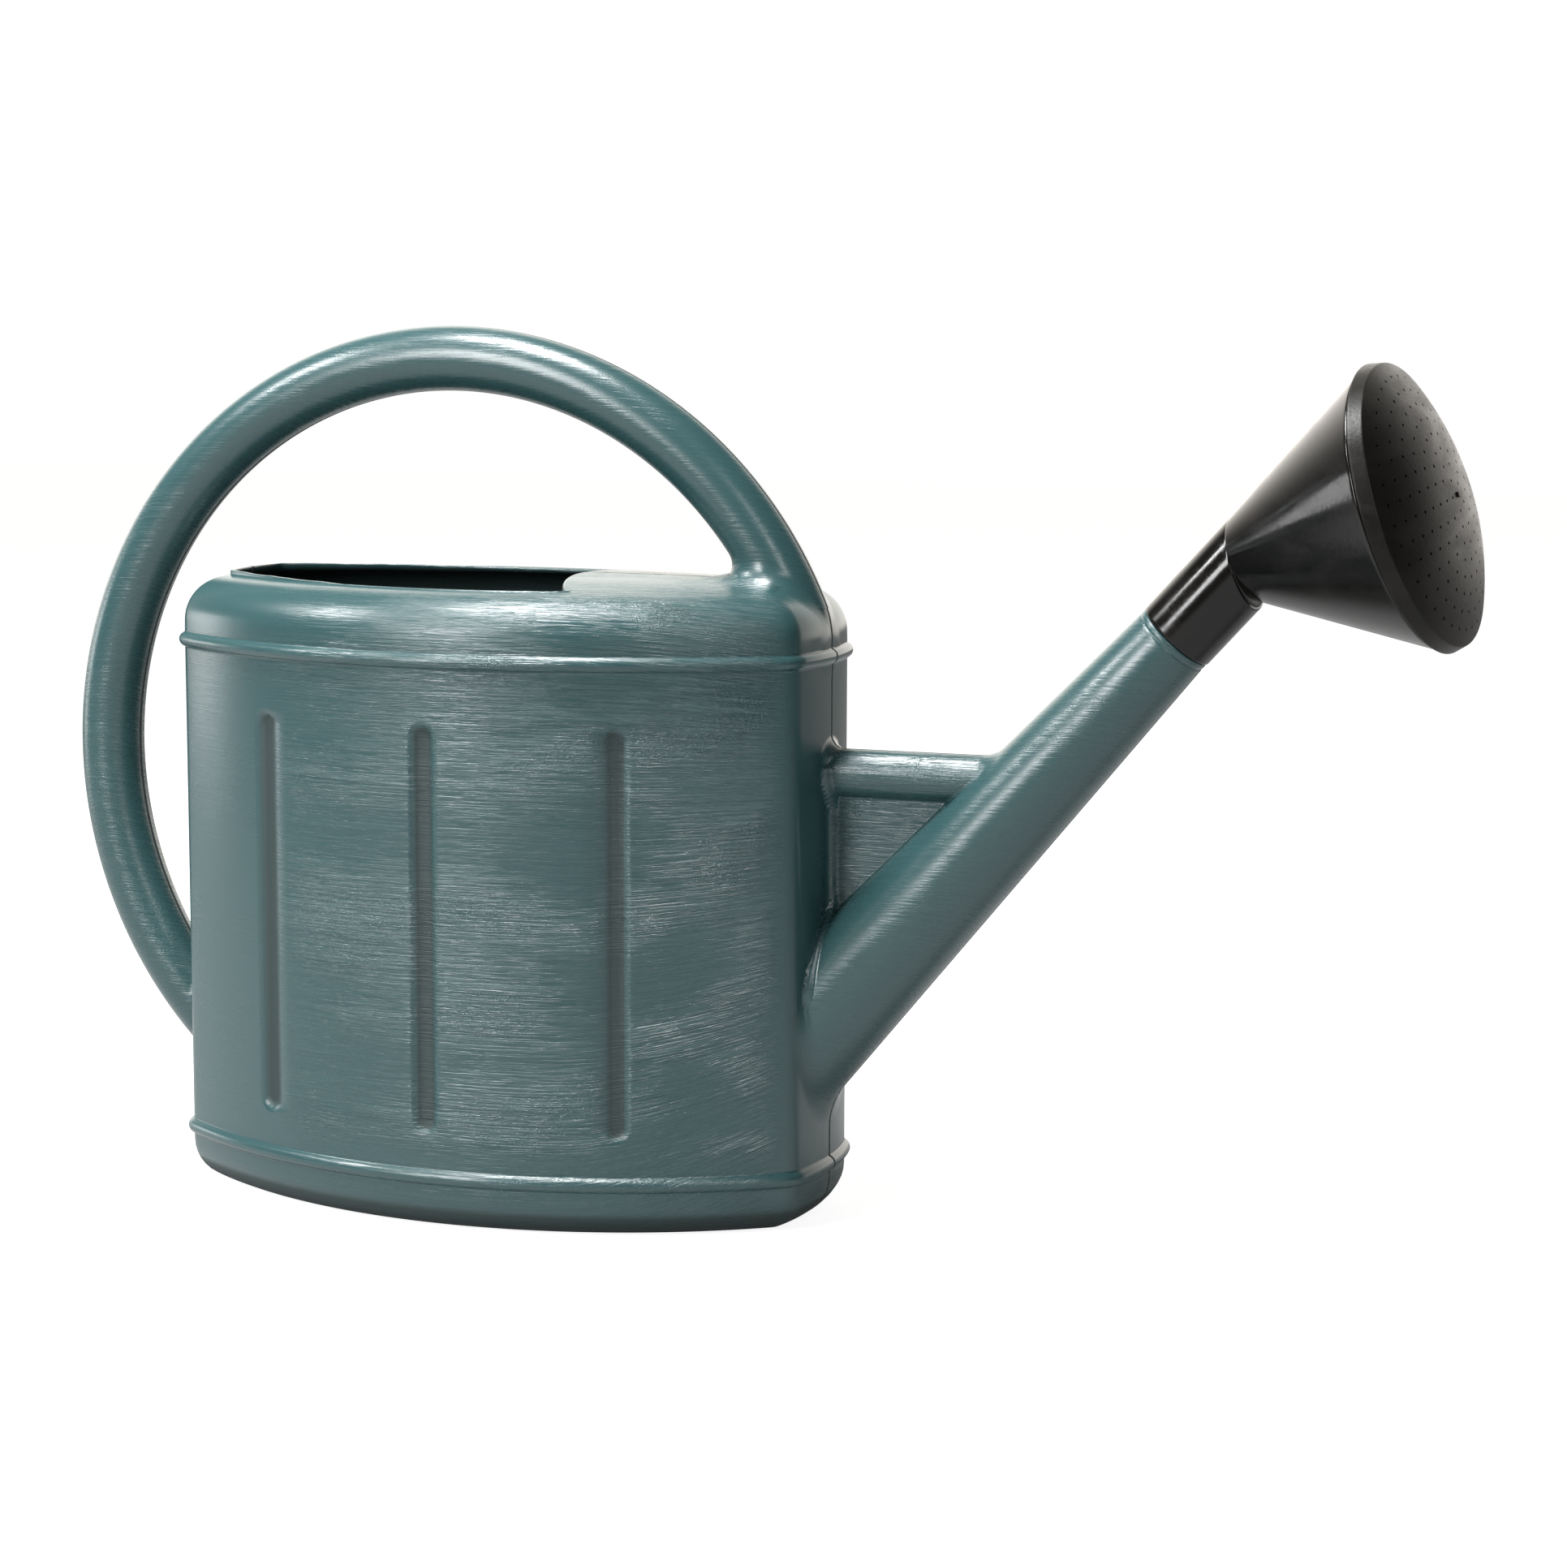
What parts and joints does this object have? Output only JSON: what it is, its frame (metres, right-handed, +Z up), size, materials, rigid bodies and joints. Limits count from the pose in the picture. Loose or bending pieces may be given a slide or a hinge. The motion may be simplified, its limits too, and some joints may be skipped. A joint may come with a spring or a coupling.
{
  "type": "watering can",
  "caption": "Garden watering can: blow-moulded tank with hoop handle, long strutted spout, and a push-on sprinkler rose that turns on the spout's end.",
  "frame": {"origin": "on the ground under the middle of the tank's flat base", "axes": "+X towards the spout, +Y to the tank's left side seen from behind, +Z up"},
  "size_m": [0.6523, 0.178, 0.3927],
  "materials": {
    "can_plastic": "satin petrol-green polyethylene with fine drawn lines",
    "rose_body_plastic": "glossy black polypropylene",
    "rose_plate_plastic": "semi-gloss black polypropylene"
  },
  "bodies": {
    "can": {"can_tank": "can_plastic", "can_handle": "can_plastic", "can_spout": "can_plastic", "can_strut": "can_plastic"},
    "rose": {"rose_body": "rose_body_plastic"},
    "plate": {"rose_plate": "rose_plate_plastic"}
  },
  "joints": [
    {"name": "rose_turn", "type": "hinge", "parent": "can", "child": "rose", "pos_m": [0.30606, 0, 0.26525], "axis": [0.6717, 0, 0.7408], "continuous": true},
    {"name": "rose_plate_pull", "type": "slide", "parent": "rose", "child": "plate", "axis": [0.9429, -0.1321, 0.3057], "range_m": [0, 0.012]}
  ]
}
